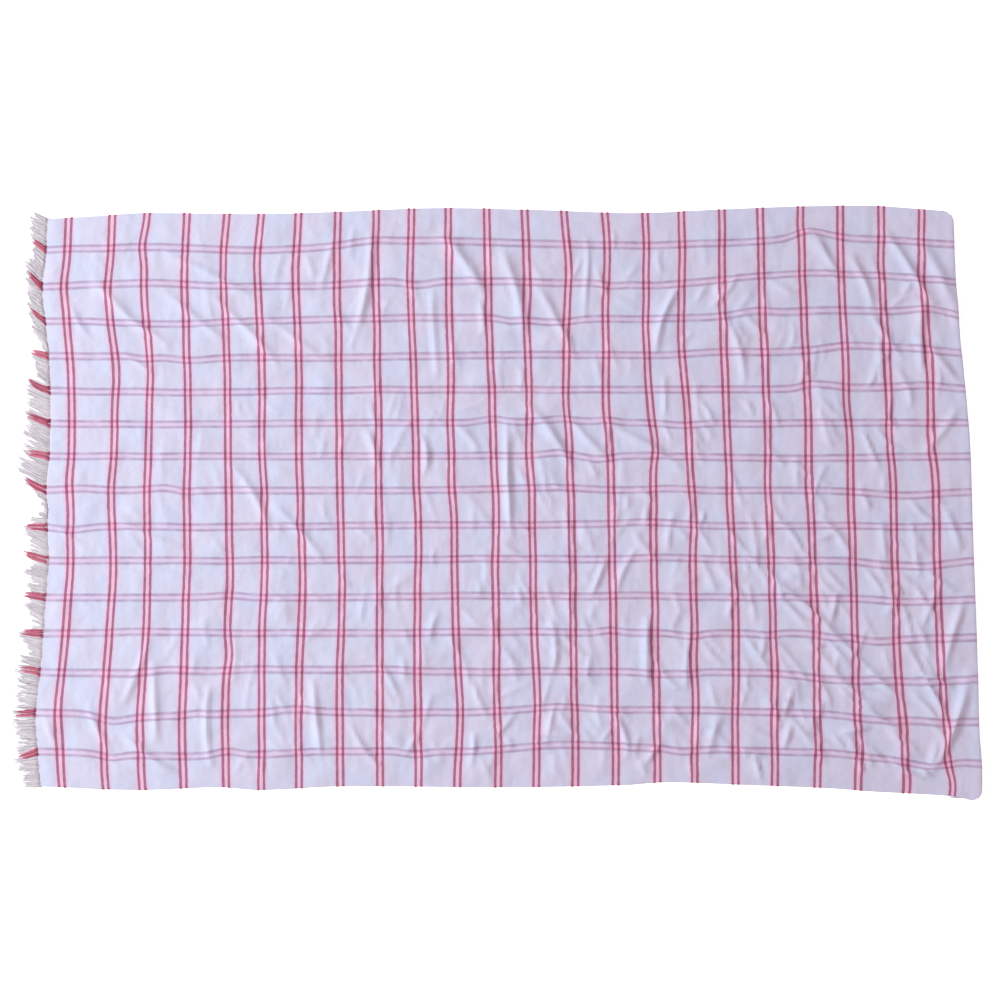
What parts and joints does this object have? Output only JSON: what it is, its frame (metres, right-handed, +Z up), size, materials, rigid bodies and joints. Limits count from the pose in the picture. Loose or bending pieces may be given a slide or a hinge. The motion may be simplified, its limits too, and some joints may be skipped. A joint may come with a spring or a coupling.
{
  "type": "fringed wool blanket",
  "caption": "Flat-woven wool blanket laid out flat, with a windowpane check of paired stripes, a yarn fringe on one end and the far end turned under.",
  "frame": {"origin": "middle of the footprint, on the floor that the blanket lies on", "axes": "+X along the length from the fringed end to the turned end, +Y across the width, +Z up"},
  "size_m": [2.132, 1.307, 0.0126],
  "materials": {
    "woven_wool": "matte plain weave in off-white wool with a bluish cast, crossed by paired crimson and pale mauve stripes",
    "fringe_yarn": "matte loosely twisted wool yarn",
    "crimson_yarn": "matte loosely twisted wool yarn, dyed crimson"
  },
  "bodies": {
    "root": {"cloth": "woven_wool", "fringe": "fringe_yarn"}
  },
  "joints": []
}
